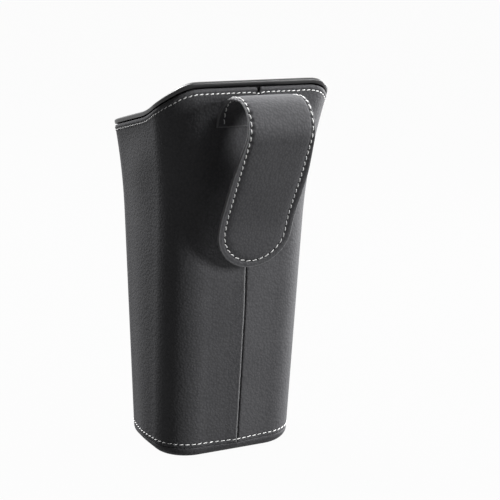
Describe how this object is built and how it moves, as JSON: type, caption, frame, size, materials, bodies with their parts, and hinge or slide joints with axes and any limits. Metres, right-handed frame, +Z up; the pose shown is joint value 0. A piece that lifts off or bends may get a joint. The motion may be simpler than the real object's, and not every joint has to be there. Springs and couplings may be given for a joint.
{
  "type": "car trash bin",
  "caption": "Upright car trash bin: leather wrap round a tapered bucket, flared mouth with a sloping rim, lift-off bag ring and a looped strap at the back to hang it by.",
  "frame": {"origin": "middle of the base, on the surface that the bin stands on", "axes": "+Z up, +Y towards the back wall that carries the strap, +X to the right seen from the low front"},
  "size_m": [0.1348, 0.2031, 0.3003],
  "materials": {
    "leather": "fine pebble grain",
    "bucket_plastic": "matt",
    "ring_plastic": "satin"
  },
  "bodies": {
    "bin": {"leather_sleeve": "leather", "base_cover": "leather", "inner_bucket": "bucket_plastic", "hanging_strap": "leather"},
    "ring": {"bag_ring": "ring_plastic"}
  },
  "joints": [
    {"name": "ring_lift", "type": "slide", "parent": "bin", "child": "ring", "axis": [0, 0, 1], "range_m": [0, 0.085]}
  ]
}
